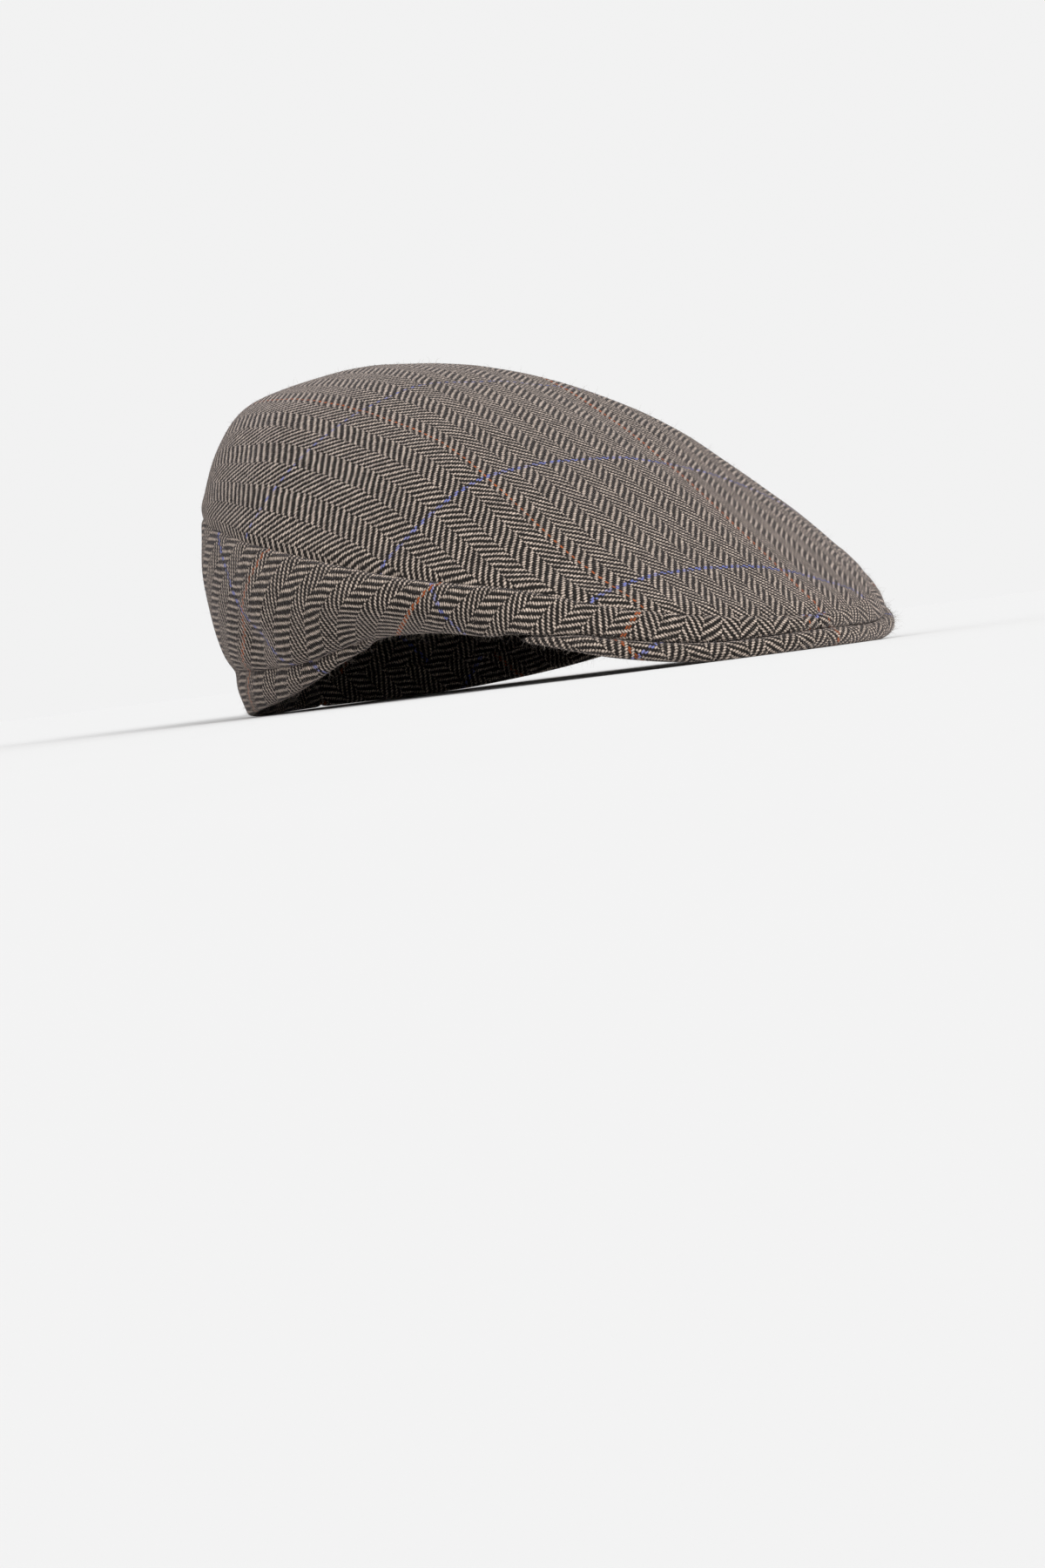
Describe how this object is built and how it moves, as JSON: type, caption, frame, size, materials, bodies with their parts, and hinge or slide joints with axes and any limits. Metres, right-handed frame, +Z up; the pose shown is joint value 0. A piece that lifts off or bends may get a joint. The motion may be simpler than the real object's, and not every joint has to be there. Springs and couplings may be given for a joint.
{
  "type": "flat cap",
  "caption": "Soft flat cap in herringbone tweed: a one-piece top drawn down to a short stiff peak, side panels with a fold at the back, and a head hollow open below.",
  "frame": {"origin": "under the middle of the cap's bounding box, on the surface it lies on", "axes": "+Z up, -Y towards the peak, +X towards the wearer's left"},
  "size_m": [0.2084, 0.2488, 0.121],
  "materials": {
    "tweed": "matt napped wool in a fine black and cream herringbone with thin blue and rust check lines"
  },
  "bodies": {
    "root": {"top_panel": "tweed", "side_panel_left": "tweed", "side_panel_right": "tweed", "peak": "tweed"}
  },
  "joints": []
}
